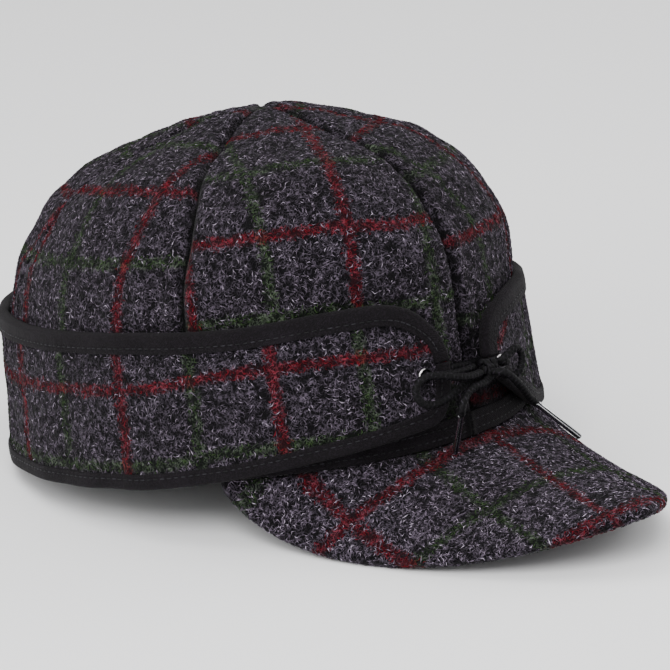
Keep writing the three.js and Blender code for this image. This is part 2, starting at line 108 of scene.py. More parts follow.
def makePiece(name, points, faces, material, maps=None):
    points = np.asarray(points, float).reshape(-1, 3)
    mesh = bpy.data.meshes.new(name)
    mesh.vertices.add(len(points))
    mesh.vertices.foreach_set("co", points.ravel())
    corners = np.concatenate([np.asarray(f, int).ravel() for f in faces])
    sizes = np.concatenate([np.full(len(f), np.asarray(f).shape[1]) for f in faces])
    mesh.loops.add(len(corners))
    mesh.loops.foreach_set("vertex_index", corners)
    mesh.polygons.add(len(sizes))
    mesh.polygons.foreach_set("loop_start", np.concatenate([[0], np.cumsum(sizes)[:-1]]))
    for key, values in (maps or {}).items():
        layer = mesh.uv_layers.new(name=key)
        layer.data.foreach_set("uv", np.asarray(values, float).reshape(-1, 2)[corners].ravel())
    mesh.update(calc_edges=True)
    mesh.polygons.foreach_set("use_smooth", np.full(len(sizes), True))
    mesh.validate()
    piece = bpy.data.objects.new(name, mesh)
    bpy.context.scene.collection.objects.link(piece)
    mesh.materials.append(material)
    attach(piece, "root")
    return piece


def gridFaces(rows, cols, start=0, flip=False, ring=False):
    r, c = np.meshgrid(np.arange(rows - 1), np.arange(cols if ring else cols - 1), indexing="ij")
    d = (c + 1) % cols
    quads = np.stack([r * cols + c, r * cols + d, (r + 1) * cols + d, (r + 1) * cols + c], -1).reshape(-1, 4)
    return (quads[:, ::-1] if flip else quads) + start


def shellFaces(rows, cols):  # two grids of the same size closed along their four sides
    n = rows * cols
    r, c = np.arange(rows), np.arange(cols)
    edge = np.concatenate([c[:-1], r[:-1] * cols + cols - 1, (rows - 1) * cols + c[:0:-1], r[:0:-1] * cols])
    after = np.roll(edge, -1)
    side = np.stack([edge, edge + n, after + n, after], -1)
    return [np.concatenate([gridFaces(rows, cols), gridFaces(rows, cols, n, flip=True), side])]


def tubeFaces(rings, around, closed=False):
    faces = [gridFaces(rings, around, ring=True, flip=True)]
    if closed:
        c = np.arange(around)
        d = (c + 1) % around
        last = (rings - 1) * around
        return [np.concatenate([faces[0], np.stack([last + c, c, d, last + d], -1)[:, ::-1]])]
    return faces + [np.arange(around)[None, :], ((rings - 1) * around + np.arange(around))[None, ::-1]]


def smoothStep(x, a, b):
    t = np.clip((x - a) / (b - a), 0, 1)
    return t * t * (3 - 2 * t)


def hump(x, a, b, c, d):  # up from a to b, and down again from c to d
    return smoothStep(x, a, b) * (1 - smoothStep(x, c, d))


def curveThrough(points, step):  # even points along a smooth curve through a few chosen ones
    p = np.asarray(points, float)
    ends = np.vstack([2 * p[0] - p[1], p, 2 * p[-1] - p[-2]])
    knots = np.concatenate([[0], np.cumsum(np.linalg.norm(np.diff(ends, axis=0), axis=1) ** 0.5)])
    dense = []
    for i in range(1, len(ends) - 2):
        t = np.linspace(knots[i], knots[i + 1], 40, endpoint=i == len(ends) - 3)[:, None]
        t0, t1, t2, t3 = knots[i - 1:i + 3]
        a1 = ends[i - 1] * (t1 - t) / (t1 - t0) + ends[i] * (t - t0) / (t1 - t0)
        a2 = ends[i] * (t2 - t) / (t2 - t1) + ends[i + 1] * (t - t1) / (t2 - t1)
        a3 = ends[i + 1] * (t3 - t) / (t3 - t2) + ends[i + 2] * (t - t2) / (t3 - t2)
        b1 = a1 * (t2 - t) / (t2 - t0) + a2 * (t - t0) / (t2 - t0)
        b2 = a2 * (t3 - t) / (t3 - t1) + a3 * (t - t1) / (t3 - t1)
        dense.append(b1 * (t2 - t) / (t2 - t1) + b2 * (t - t1) / (t2 - t1))
    dense = np.vstack(dense)
    along = np.concatenate([[0], np.cumsum(np.linalg.norm(np.diff(dense, axis=0), axis=1))])
    at = np.linspace(0, along[-1], max(int(along[-1] / step), 4) + 1)
    return np.stack([np.interp(at, along, dense[:, k]) for k in range(dense.shape[1])], -1), at


def rumple(p, size, seed):  # slow unevenness of cloth, about -1 to 1
    waves = np.random.default_rng(seed)
    total = 0
    for _ in range(7):
        total = total + np.sin(p @ (waves.normal(size=3) * 2 * math.pi / size) + waves.uniform(0, 6.3))
    return total / 3.2


# materials

class Wire:  # one socket, so that shader maths reads as plain expressions
    def __init__(self, tree, socket=None):
        self.tree, self.socket = tree, socket

    def node(self, kind, settings=None, values=None, out=0):
        made = self.tree.nodes.new(kind)
        for key, value in (settings or {}).items():
            if key == "stops":
                ramp = made.color_ramp
                while len(ramp.elements) < len(value):
                    ramp.elements.new(0.5)
                for element, (place, colour) in zip(ramp.elements, value):
                    element.position = place
                    element.color = (*colour, 1)
            else:
                setattr(made, key, value)
        for key, value in (values or {}).items():
            if isinstance(value, Wire):
                self.tree.links.new(value.socket, made.inputs[key])
            else:
                made.inputs[key].default_value = value
        return Wire(self.tree, made.outputs[out] if made.outputs else None)

    def math(self, operation, *values):
        return self.node("ShaderNodeMath", {"operation": operation}, dict(enumerate(values)))

    def __add__(self, other):
        return self.math("ADD", self, other)

    def __sub__(self, other):
        return self.math("SUBTRACT", self, other)

    def __rsub__(self, other):
        return self.math("SUBTRACT", other, self)

    def __mul__(self, other):
        return self.math("MULTIPLY", self, other)

    def __lt__(self, other):
        return self.math("LESS_THAN", self, other)

    def __abs__(self):
        return self.math("ABSOLUTE", self)

    __radd__ = __add__
    __rmul__ = __mul__


def colour(r, g, b):  # 0-255 as listed, to what the shader wants
    return tuple(((c / 255 + 0.055) / 1.055) ** 2.4 if c > 10 else c / 255 / 12.92 for c in (r, g, b)) + (1,)


def newMaterial(name):
    material = bpy.data.materials.new(name)
    material.use_nodes = True
    material.node_tree.nodes.clear()
    return material, Wire(material.node_tree)


def finish(t, values):
    surface = t.node("ShaderNodeBsdfPrincipled", {}, values)
    t.node("ShaderNodeOutputMaterial", {}, {"Surface": surface})


def mixColours(t, share, a, b):
    return t.node("ShaderNodeMix", {"data_type": "RGBA"}, {"Factor": share, 6: a, 7: b}, out=2)


def placeOf(t):
    return t.node("ShaderNodeTexCoord", out=3)


def mapOf(t, name):
    return t.node("ShaderNodeUVMap", {"uv_map": name})


def part(t, vector, k=0):  # one of its numbers
    return t.node("ShaderNodeSeparateXYZ", {}, {0: vector}, out=k)


def noise(t, scale, detail=2.0, rough=0.5, where=None, distortion=0.0):
    values = {"Vector": where or placeOf(t), "Scale": scale, "Detail": detail, "Roughness": rough,
              "Distortion": distortion}
    return t.node("ShaderNodeTexNoise", {}, values)


def between(t, value, low, high):  # 0 below low, 1 above high, smooth
    return t.node("ShaderNodeMapRange", {"interpolation_type": "SMOOTHSTEP"}, {0: value, 1: low, 2: high})


check = {
    "repeat": 55.0,  # mm from one red line to the next, green half way between
    "redHalf": 1.75,  # mm, half the width of a red line
    "greenHalf": 1.9,
    "red": colour(122, 14, 30),
    "redDark": colour(32, 5, 11),
    "green": colour(64, 86, 50),
    "greenDark": colour(10, 16, 9),
}


def fromLines(t, shift):  # mm from the nearest line of the check, either way of the cloth
    cloth = mapOf(t, "cloth")
    far = [abs(side.math("FRACT", side + shift) - 0.5) * check["repeat"]
           for side in (part(t, cloth), part(t, cloth, 1))]
    return far[0].math("MINIMUM", far[0], far[1])


def curls(t, scale, width):  # thin crooked lines, as felted hairs make
    return 1 - between(t, abs(noise(t, scale, 1.5, 0.5, distortion=0.5) - 0.5), 0.0, width)


def woolCloth(name, paintedLightGain=1.0):
    material, t = newMaterial(name)
    fuzz = noise(t, 620, 3, 0.6)
    slow = noise(t, 45, 2)
    wide, fine = curls(t, 430, 0.045), curls(t, 760, 0.06)
    spots = wide.math("MAXIMUM", wide, fine * 0.7)
    shown = spots * between(t, noise(t, 300, 2), 0.35, 0.6)
    # the gain lightens the pale fibres as painted light, for a copy of the wool that faces the lamps
    grey = mixColours(t, shown, colour(6, 5, 7), colour(88 * paintedLightGain, 79 * paintedLightGain, 92 * paintedLightGain))
    grey = mixColours(t, slow * 0.3, grey, colour(8, 7, 9))
    ragged = (fuzz - 0.5) * 7.0
    red = 1 - between(t, fromLines(t, 0.5) + ragged, check["redHalf"] * 0.6, check["redHalf"] * 1.5)
    green = 1 - between(t, fromLines(t, 0.0) + ragged, check["greenHalf"] * 0.6, check["greenHalf"] * 1.5)
    grey = mixColours(t, green * 0.6, grey, mixColours(t, shown, check["greenDark"], check["green"]))
    grey = mixColours(t, red * 0.7, grey, mixColours(t, shown, check["redDark"], check["red"]))
    # painted shade: the 'seam' map darkens the cloth almost to black in the seam grooves and low down under
    # the band
    seams = part(t, mapOf(t, "seam"))
    grey = mixColours(t, seams * 0.92, grey, colour(1, 1, 1))
    bump = t.node("ShaderNodeBump", {}, {"Strength": 0.7, "Distance": 0.0004, "Height": fuzz + spots * 0.7})
    finish(t, {"Base Color": grey, "Roughness": 0.95, "Normal": bump, "Sheen Weight": 0.05,
               "Specular IOR Level": 0.08})
    return material


def woolNap(name, paintedLightGain=1.0):
    material, t = newMaterial(name)
    tone = mapOf(t, "hair")
    pale, loose = part(t, tone), part(t, tone, 1)
    # the gain lightens the pale hairs as painted light, for a copy of the nap that faces the lamps
    grey = t.node("ShaderNodeValToRGB", {"stops": [
        (0.0, colour(10, 8, 11)[:3]), (0.4, colour(43, 38, 45)[:3]),
        (0.8, colour(116 * paintedLightGain, 105 * paintedLightGain, 120 * paintedLightGain)[:3]),
        (1.0, colour(178 * paintedLightGain, 167 * paintedLightGain, 184 * paintedLightGain)[:3])]}, {0: pale})
    red = fromLines(t, 0.5) < check["redHalf"] * (loose * 2.3 - 0.5)
    green = fromLines(t, 0.0) < check["greenHalf"] * (loose * 2.3 - 0.6)
    grey = mixColours(t, green, grey, mixColours(t, pale, check["greenDark"], check["green"]))
    grey = mixColours(t, red, grey, mixColours(t, pale, check["redDark"], check["red"]))
    finish(t, {"Base Color": grey, "Roughness": 0.8, "Specular IOR Level": 0.12})
    return material


def tapeCloth(name, base):
    material, t = newMaterial(name)
    twill = t.node("ShaderNodeTexWave", {"wave_type": "BANDS", "bands_direction": "DIAGONAL"}, {
        "Vector": mapOf(t, "cloth"), "Scale": 0.62, "Distortion": 0.6, "Detail": 1.0, "Detail Scale": 2.0})
    slub = noise(t, 900, 2)
    wear = noise(t, 70, 3)
    grain = between(t, noise(t, 1500, 2, 0.6), 0.42, 0.66)
    shade = mixColours(t, twill * 0.4 + slub * 0.3, base, colour(14, 11, 14))
    shade = mixColours(t, grain * 0.6, shade, colour(26, 21, 27))
    shade = mixColours(t, between(t, wear, 0.5, 0.75) * 0.3, shade, colour(30, 25, 31))
    bump = t.node("ShaderNodeBump", {}, {"Strength": 0.7, "Distance": 0.00025, "Height": twill * 0.6 + grain})
    finish(t, {"Base Color": shade, "Roughness": 0.8, "Normal": bump, "Sheen Weight": 0.02,
               "Specular IOR Level": 0.1})
    return material


def laceBraid(name):
    material, t = newMaterial(name)
    patchyHighlight = noise(t, 800, 3)
    strands = part(t, mapOf(t, "plait"))
    # painted light: the tops of the plait's ribs get a light colour as a painted highlight, in random
    # patches, and the grooves between them near black as painted shade
    top = between(t, strands, 0.45, 1.0)
    shade = mixColours(t, between(t, patchyHighlight, 0.3, 0.75), colour(5, 4, 6), colour(52, 46, 56))
    shade = mixColours(t, top, colour(2, 2, 3), shade)
    height = strands + noise(t, 3200, 2) * 0.5
    bump = t.node("ShaderNodeBump", {}, {"Strength": 1.0, "Distance": 0.0004, "Height": height})
    finish(t, {"Base Color": shade, "Roughness": 0.6 - top * 0.2, "Normal": bump, "Specular IOR Level": 0.16})
    return material


def threadShade(name):
    material, t = newMaterial(name)
    shade = mixColours(t, between(t, noise(t, 420, 2), 0.35, 0.75), colour(2, 2, 3), colour(36, 34, 40))
    finish(t, {"Base Color": shade, "Roughness": 0.55, "Specular IOR Level": 0.22})
    return material


def steelPaintedReflections(name, stops, low, high, lit=False):  # its map is the direction about the part's axis; bands of base colour, dark and near white, are painted reflections
    material, t = newMaterial(name)
    smear = noise(t, 900, 3)
    about = mapOf(t, "round")
    if lit:  # one bright arc on the side of the key light
        paintedReflection = part(t, about) * 0.75 - part(t, about, 1) * 0.65 + (smear - 0.5) * 0.5
    else:
        paintedReflection = noise(t, 2.2, 1.0, where=about)
    shade = mixColours(t, between(t, paintedReflection + smear * 0.05, *stops), low, high)
    finish(t, {"Base Color": shade, "Metallic": 1.0, "Roughness": smear * 0.10 + 0.08})
    return material


wool = woolCloth("check_wool")
nap = woolNap("check_wool_nap")
# painted light: the visor's copies of the wool and nap are 1.18 times paler, as the visor faces up towards
# the lamps
paintedLitVisorWool, paintedLitVisorNap = woolCloth("visor_wool", 1.18), woolNap("visor_nap_painted_light", 1.18)
tapeBlack = tapeCloth("bias_tape", colour(7, 5, 7))
braid = laceBraid("lace_braid")
thread = threadShade("sewing_thread")
# painted reflections: the aglets' metal gets dark and near-white bands round it, and the eyelets one bright
# arc as a painted glint
paintedReflectionSteel = steelPaintedReflections("nickel_painted_reflections", (0.42, 0.56), colour(34, 34, 37), colour(238, 239, 242))
eyeletPaintedGlint = steelPaintedReflections("eyelet_nickel_painted_glint", (0.4, 0.85), colour(34, 33, 36), colour(226, 222, 224), lit=True)

# head and crown, sizes in mm
hat = {
    "halfLength": 104.6, "halfWidth": 86.2, "egg": 0.045, "height": 119.4, "wall": 2.4, "puff": 3.0,
    "seams": [2.5, 64, 121, 180, 239, 295.5, 362.5],  # degrees round from the middle of the front
    "names": ["crown_front_left", "crown_side_left", "crown_back_left",
              "crown_back_right", "crown_side_right", "crown_front_right"],
    "riseShare": [0.000, 0.150, 0.300, 0.450, 0.600, 0.703, 0.793, 0.869, 0.921, 0.966, 0.988, 0.997],
    "girthShare": [1.000, 0.999, 0.993, 0.988, 0.952, 0.868, 0.778, 0.643, 0.445, 0.257, 0.129, 0.008],
    "forwardShare": [0.000, 0.000, 0.001, 0.011, 0.030, 0.053, 0.064, 0.071, 0.083, 0.105, 0.135, 0.160],
}


def station(values, u):  # smooth value from evenly spaced stations of u
    n = len(values) - 1
    p = np.array([2 * values[0] - values[1], *values, 2 * values[-1] - values[-2]])
    place = np.clip(u, 0, 1) * n
    i = np.minimum(place.astype(int), n - 1)
    f = place - i
    a, b, c, d = p[i], p[i + 1], p[i + 2], p[i + 3]
    return b + 0.5 * f * (c - a + f * (2 * a - 5 * b + 4 * c - d + f * (3 * b - a - 3 * c + d)))


def oval(t, out):
    wide, long = hat["halfWidth"] + out, hat["halfLength"] + out
    return wide * np.sin(t) * (1 - hat["egg"] * np.cos(t)), -long * np.cos(t)


def crownSkin(u, t):
    girth = station(hat["girthShare"], u)
    x, y = oval(t, 0)
    return np.stack([x * girth, y * girth - hat["halfLength"] * station(hat["forwardShare"], u),
                     hat["height"] * station(hat["riseShare"], u) + 0 * t], -1)


def unit(v):
    return v / np.maximum(np.linalg.norm(v, axis=-1, keepdims=True), 1e-9)


def crownNormal(u, t):
    e = 0.004
    du = crownSkin(np.minimum(u + e, 1), t) - crownSkin(np.maximum(u - e, 0), t)
    return unit(np.cross(crownSkin(u, t + e) - crownSkin(u, t - e), du))


# wool nap: short bent hairs over a cloth grid
hairs = {
    "length": (1.4, 3.2), "thick": (0.09, 0.19), "lift": 0.36, "bend": 0.75,
    "crown": 0.95, "band": 0.78, "visorTop": 1.2, "visorUnder": 0.4,  # how many to a square mm
    "shaded": 0.35,  # how pale they stay where they are shaded most
}


def addNap(name, grid, cloth, perMm2, seed, keep=None, shade=None, material=nap):
    rng = np.random.default_rng(seed)
    a, b, c, d = grid[:-1, :-1], grid[:-1, 1:], grid[1:, 1:], grid[1:, :-1]
    cross = np.cross(c - a, d - b).reshape(-1, 3)
    area = np.linalg.norm(cross, axis=1) / 2
    if keep is not None:
        area = area * keep.reshape(-1)
    count = int(area.sum() * perMm2)
    face = rng.choice(len(area), count, p=area / area.sum())
    f, g = rng.uniform(size=(2, count, 1))
    weights = (1 - f) * (1 - g), f * (1 - g), f * g, (1 - f) * g
    corners = [q.reshape(-1, 3)[face] for q in (a, b, c, d)]
    maps = [q.reshape(-1, 2)[face] for q in (cloth[:-1, :-1], cloth[:-1, 1:], cloth[1:, 1:], cloth[1:, :-1])]
    root = sum(w * q for w, q in zip(weights, corners))
    where = sum(w * q for w, q in zip(weights, maps))
    out = unit(cross[face])
    e1 = unit(corners[1] - corners[0])
    e2 = np.cross(out, e1)
    turn = rng.uniform(0, 2 * math.pi, (count, 1))
    lie = np.cos(turn) * e1 + np.sin(turn) * e2
    side = np.cross(out, lie)
    long = rng.uniform(*hairs["length"], (count, 1))
    thick = rng.uniform(*hairs["thick"], (count, 1))
    bend = rng.normal(0, hairs["bend"], (count, 1))
    up = rng.uniform(0.3, 1.0, (count, 1)) * hairs["lift"]
    tips = [root - lie * long * 0.5 - side * bend * 0.5 + out * 0.02,
            root + lie * long * 0.5 - side * bend * 0.5 + out * rng.exponential(0.10, (count, 1))]
    middle = root + side * bend * 0.5 + out * up
    ring = [middle + (side * math.cos(k) + out * math.sin(k)) * thick for k in (0.5, 2.6, 4.7)]
    points = np.stack([tips[0], *ring, tips[1]], 1).reshape(-1, 3)
    one = np.array([[0, 2, 1], [0, 3, 2], [0, 1, 3], [4, 1, 2], [4, 2, 3], [4, 3, 1]])
    faces = (np.arange(count)[:, None, None] * 5 + one[None]).reshape(-1, 3)
    tone = np.stack([rng.beta(1.2, 1.9, count), rng.uniform(size=count)], -1)
    if shade is not None:
        tone[:, 0] *= hairs["shaded"] + (1 - hairs["shaded"]) * shade.reshape(-1)[face]
    maps = {"cloth": np.repeat(where, 5, axis=0), "hair": np.repeat(tone, 5, axis=0)}
    return makePiece(name, settled(points), [faces], material, maps)


# where the check's lines fall on each panel: mm from the panel's middle and up from the rim
panelCheck = {
    "crown_front_left": {"across": -4.0, "up": 69.0},
    "crown_side_left": {"across": 9.0, "up": 97.0},
    "crown_back_left": {"across": -14.0, "up": 84.0},
    "crown_back_right": {"across": 36.0, "up": 109.0},
    "crown_side_right": {"across": 22.0, "up": 108.0},
    "crown_front_right": {"across": 12.0, "up": 84.3},
}
# mm from line to line; those round the near front panel fall a little towards the front seam
crownRepeat = {"across": 60.0, "up": 58.0, "farAcross": 50.0, "fall": 4.0, "fallOver": 34.0}
# mm, and where a value sets in or fades as shares of the way up
seam = {
    "gap": 0.3, "sink": 1.5, "sinkWide": 1.1, "topFade": (0.88, 0.98),
    "ridge": 0.55, "ridgeAt": 3.6, "ridgeWide": 2.0, "ridgeFrom": (0.02, 0.2),
    "frontSink": 1.6, "frontWide": 0.6, "frontFade": (0.24, 0.5),  # the front one is drawn in deeper
    # the first two say how wide, in mm, the painted shade along the seam grooves reaches, wider at the front
    # one
    "paintedShade": 0.9, "frontPaintedShade": 0.3, "bare": 0.7, "frontBare": 0.3, "bareFade": 1.6,
}
crownGrid = {
    "across": 44, "up": 84, "puffUp": (0.20, 0.55, 0.80, 1.0),
    "rumple": 0.55, "rumpleSize": 46, "rumpleFrom": (0.05, 0.3),
    "cheek": 2.1, "cheekUp": (0.17, 0.27, 0.34, 0.62),  # a bulge beside the wearer's left wing
    "cheekRound": (14, 34, 52, 84),  # degrees
    "underBandShade": 0.75, "underBandShadeUp": (10, 24),  # mm up from the rim, between which the painted shade under the band fades out on the cloth
}


def lengthAlong(points, axis):
    step = np.linalg.norm(np.diff(points, axis=axis), axis=-1)
    pad = np.zeros_like(np.take(step, [0], axis))
    return np.cumsum(np.concatenate([pad, step], axis), axis)


def crownPanel(k):
    name = hat["names"][k]
    start, end = math.radians(hat["seams"][k]), math.radians(hat["seams"][k + 1])
    u = np.linspace(0, 1, crownGrid["up"])[:, None]
    share = 0.5 - 0.5 * np.cos(np.linspace(0, math.pi, crownGrid["across"]))[None, :]
    girth = (hat["halfLength"] + hat["halfWidth"]) / 2 * station(hat["girthShare"], u)
    trim = seam["gap"] / 2 / np.maximum(girth, 0.6)
    t = start + trim + (end - start - 2 * trim) * share
    u = u + 0 * t
    puff = hat["puff"] * hump(u, *crownGrid["puffUp"]) * (0.3 - np.abs(2 * share - 1) ** 3)
    skin, out = crownSkin(u, t), crownNormal(u, t)
    across = lengthAlong(skin, 1)
    across = across - across[:, -1:] / 2
    up = lengthAlong(skin, 0)[:, crownGrid["across"] // 2, None] + 0 * across
    edge = np.minimum(across - across[:, :1], across[:, -1:] - across)
    front = {0: share < 0.5, 5: share > 0.5}.get(k, False) * (1 - smoothStep(u, *seam["frontFade"]))
    sink, wide = seam["sink"] + seam["frontSink"] * front, seam["sinkWide"] + seam["frontWide"] * front
    fold = -sink * np.exp(-(edge / wide) ** 2)
    ridge = np.exp(-((edge - seam["ridgeAt"]) / seam["ridgeWide"]) ** 2)
    fold = fold + seam["ridge"] * ridge * smoothStep(u, *seam["ridgeFrom"])
    fold = fold * (1 - smoothStep(u, *seam["topFade"]))
    waves = rumple(skin, crownGrid["rumpleSize"], 3) * smoothStep(u, *crownGrid["rumpleFrom"])
    cheek = hump(np.degrees(t), *crownGrid["cheekRound"]) * hump(u, *crownGrid["cheekUp"])
    soft = crownGrid["rumple"] * waves + crownGrid["cheek"] * cheek
    outer = skin + out * (puff + fold + soft)[..., None]
    inner = skin + out * (puff - hat["wall"] + np.minimum(fold + 0.6, 0) + soft)[..., None]
    lines = panelCheck[name]
    fall = crownRepeat["fall"] * smoothStep(across, 0, crownRepeat["fallOver"]) if k == 5 else 0
    cloth = np.stack([(across - lines["across"]) / crownRepeat["across" if k else "farAcross"],
                      (up + fall - lines["up"]) / crownRepeat["up"]], -1)
    points = np.concatenate([outer.reshape(-1, 3), inner.reshape(-1, 3)])
    # painted shade: the cloth darkened along the seam grooves and low down where the band shades it, carried
    # to the wool shader by the 'seam' map
    underBandShade = crownGrid["underBandShade"] * (1 - smoothStep(up, *crownGrid["underBandShadeUp"]))
    paintedShade = np.maximum(np.exp(-(edge / (seam["paintedShade"] + seam["frontPaintedShade"] * front)) ** 2), underBandShade)
    maps = {"cloth": np.tile(cloth.reshape(-1, 2), (2, 1)),
            "seam": np.tile(np.stack([paintedShade, 0 * paintedShade], -1).reshape(-1, 2), (2, 1))}
    panel = makePiece(name + "_wool", settled(points), shellFaces(*outer.shape[:2]), wool, maps)
    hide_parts(name)
    bare = seam["bare"] + seam["frontBare"] * front
    thin = smoothStep(edge, bare, bare + seam["bareFade"])
    # the hairs thin out next to the seams; where they stay, their paleness is cut there and under the band as
    # painted shade
    addNap(name + "_nap", outer, cloth, hairs["crown"], 20 + k, keep=(thin * (u > 0.02))[:-1, :-1],
           shade=(thin * (1 - underBandShade))[:-1, :-1])


for k in range(6):
    crownPanel(k)
print("cap: crown panels and their nap")

# ear band, laid out flat as (distance round from the wearer's left wing tip, height); the values
# that end in Over say how far back from a wing tip, in mm, something sets in and fades
band = {
    "wall": 2.4, "stand": 3.0, "lean": 5.0, "leanHeight": 54.0, "fineTip": 60.0,
    "noseLift": 2.8, "noseOver": (16, 62), "backRise": 2.0, "backOver": (140, 250),
    "sideSag": 1.0, "sideOver": (150, 250),
    "leftNose": 3.7, "rightNose": -8.2,  # degrees
    "rumple": 0.45, "rumpleSize": 38, "rumpleOver": (6, 40),
    "pinch": 0.35, "pinchWide": 2.5,  # squeezed under the tape
    "back": [0, 0.5, 1.4, 2.8, 5, 8.2, 12.5, 18, 26, 36, 50, 70, 90, 115],
    "rightLow": [30.5, 26.6, 22, 17.4, 13.4, 10.8, 9.7, 9.1, 7.9, 6.6, 4.9, 2.6, 0.6, -0.8],
    "rightHigh": [30.6, 35.4, 38.6, 41.5, 44.7, 48.3, 51.3, 53.3, 54.2, 54.2, 53.6, 52.6, 52.6, 53.4],
    "leftLow": [27, 23.8, 22.2, 20.8, 18.7, 15.8, 12.3, 8.3, 3.8, 0.6, -0.8, -1, -1, -1],
    "leftHigh": [27.1, 31, 34.2, 37.4, 40.4, 42.3, 43.8, 45.4, 46.7, 47.3, 47.4, 47.4, 47.4, 47.4],
    "leftRise": 6.0, "leftRiseOver": (95, 285), "leftDip": 2.8, "leftDipOver": (38, 74, 110, 190),
    "snugStand": 0.85, "snugLean": 3.9, "snugSine": (0, 0.42),  # the wearer's left side hugs the crown
    "redAcross": 60.0, "redEvery": 60.5,  # mm back from the near wing tip
    "redUp": 34.0, "rise": 4.5, "riseOver": (4, 44), "riseEnd": (66, 122),  # the line along the band
    "farRise": 16.0, "farRiseOver": (6, 26, 60, 150), "farDrop": 4.0, "farDropOver": (0, 60),
    "farShift": 0.07, "farShiftOver": (100, 300),
}
ringT = np.radians(np.linspace(band["leftNose"], 360 + band["rightNose"], 1441))
ringX, ringY = oval(ringT, band["stand"])
ringS = np.concatenate([[0], np.cumsum(np.hypot(np.diff(ringX), np.diff(ringY)))])
bandLength = ringS[-1]


def angleAt(s):
    inside = np.interp(s, ringS, ringT)
    rate = (ringT[1] - ringT[0]) / ringS[1]
    beyond = ringT[-1] + (s - bandLength) * rate
    return np.where(s < 0, ringT[0] + s * rate, np.where(s > bandLength, beyond, inside))


def tipDistance(s):
    return np.minimum(s, bandLength - s)


def bandPoint(s, z, out):
    stand = band["stand"] + band["noseLift"] * (1 - smoothStep(tipDistance(s), *band["noseOver"]))
    t = angleAt(s)
    snug = smoothStep(np.sin(t), *band["snugSine"])
    lean = (band["lean"] - band["snugLean"] * snug) * (0.5 - z / band["leanHeight"])
    x, y = oval(t, stand - band["snugStand"] * snug + band["wall"] / 2 + lean + out)
    return np.stack([x, y, z + 0 * x], -1)


def wingEdge(s, key):  # smooth in the square root of the distance, as the outline is upright at the tip
    q = np.sqrt(np.maximum(tipDistance(s), 0))
    stops = np.sqrt(np.array(band["back"], float))
    left = s < bandLength / 2
    right, other = (np.array(band[wing + key], float) for wing in ("right", "left"))
    i = np.clip(np.searchsorted(stops, q, side="right") - 1, 0, len(stops) - 2)
    h = stops[i + 1] - stops[i]
    f = np.clip((q - stops[i]) / h, 0, 1)
    def through(values):
        slope = np.gradient(values, stops)
        curve = ((2 * f ** 3 - 3 * f ** 2 + 1) * values[i] + (f ** 3 - 2 * f ** 2 + f) * h * slope[i]
                 + (3 * f ** 2 - 2 * f ** 3) * values[i + 1] + (f ** 3 - f ** 2) * h * slope[i + 1])
        return np.where(q >= stops[-1], values[-1], curve)
    smooth = np.where(left, through(other), through(right))
    if key == "High":
        change = band["leftRise"] * smoothStep(tipDistance(s), *band["leftRiseOver"])
        change = change - band["leftDip"] * hump(tipDistance(s), *band["leftDipOver"])
        smooth = smooth + np.where(left, change, 0)
        return smooth + band["backRise"] * smoothStep(tipDistance(s), *band["backOver"])
    return smooth + band["sideSag"] * smoothStep(tipDistance(s), *band["sideOver"])


def bandSoft(p, s):
    return band["rumple"] * rumple(p, band["rumpleSize"], 5) * smoothStep(tipDistance(s), *band["rumpleOver"])


def alongBand(first, atTip, rest):  # places along the band, close together at the wing tips
    fine = band["fineTip"]
    tip = np.linspace(first, math.sqrt(fine), atTip) ** 2
    return np.concatenate([tip, np.linspace(fine, bandLength - fine, rest)[1:-1], bandLength - tip[::-1]])


def earBand():
    s = alongBand(0, 40, 150)[None, :]
    share = np.linspace(0, 1, 17)[:, None]
    low, high = wingEdge(s, "Low"), wingEdge(s, "High")
    z = low + (high - low) * share
    s = s + 0 * z
    soft = bandSoft(bandPoint(s, z, 0), s)
    edge = np.minimum(z - low, high - z)
    thin = band["pinch"] * np.exp(-(edge / band["pinchWide"]) ** 2)
    outer = bandPoint(s, z, band["wall"] / 2 + soft - thin)
    inner = bandPoint(s, z, -band["wall"] / 2 + soft * 0.6 + thin)
    back = bandLength - s
    rise = band["rise"] * (smoothStep(back, *band["riseOver"]) * 0.5 + 0.5)
    rise = rise * (1 - smoothStep(back, *band["riseEnd"]))
    rise = rise - band["farDrop"] * (1 - smoothStep(s, *band["farDropOver"]))
    rise = rise + band["farRise"] * hump(s, *band["farRiseOver"])
    shift = band["farShift"] * (1 - smoothStep(s, *band["farShiftOver"]))
    cloth = np.stack([(back - band["redAcross"]) / band["redEvery"] + shift,
                      (z - band["redUp"] - rise) / check["repeat"]], -1)
    points = np.concatenate([outer.reshape(-1, 3), inner.reshape(-1, 3)])
    maps = {"cloth": np.tile(cloth.reshape(-1, 2), (2, 1))}
    piece = makePiece("ear_band_wool", settled(points), shellFaces(*outer.shape[:2]), wool, maps)
    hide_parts("ear_band")
    addNap("ear_band_nap", outer, cloth, hairs["band"], 31)


# bound edges: a tape folded over the cloth, sewn down with one row of stitches, the hem with two
tape = {"thick": 0.8, "gap": 0.3, "upper": 6.2, "lower": 4.8, "hem": 8.0, "step": 1.35,
        "stitch": 2.1, "stitchEvery": 2.7, "stitchThick": 0.24, "rowShare": 0.64, "lowRow": 0.22,
        "sunk": 0.16, "pucker": 0.07, "wave": 0.05, "widenOver": (0, 10), "tipUp": 0.3, "tipDown": -0.2}


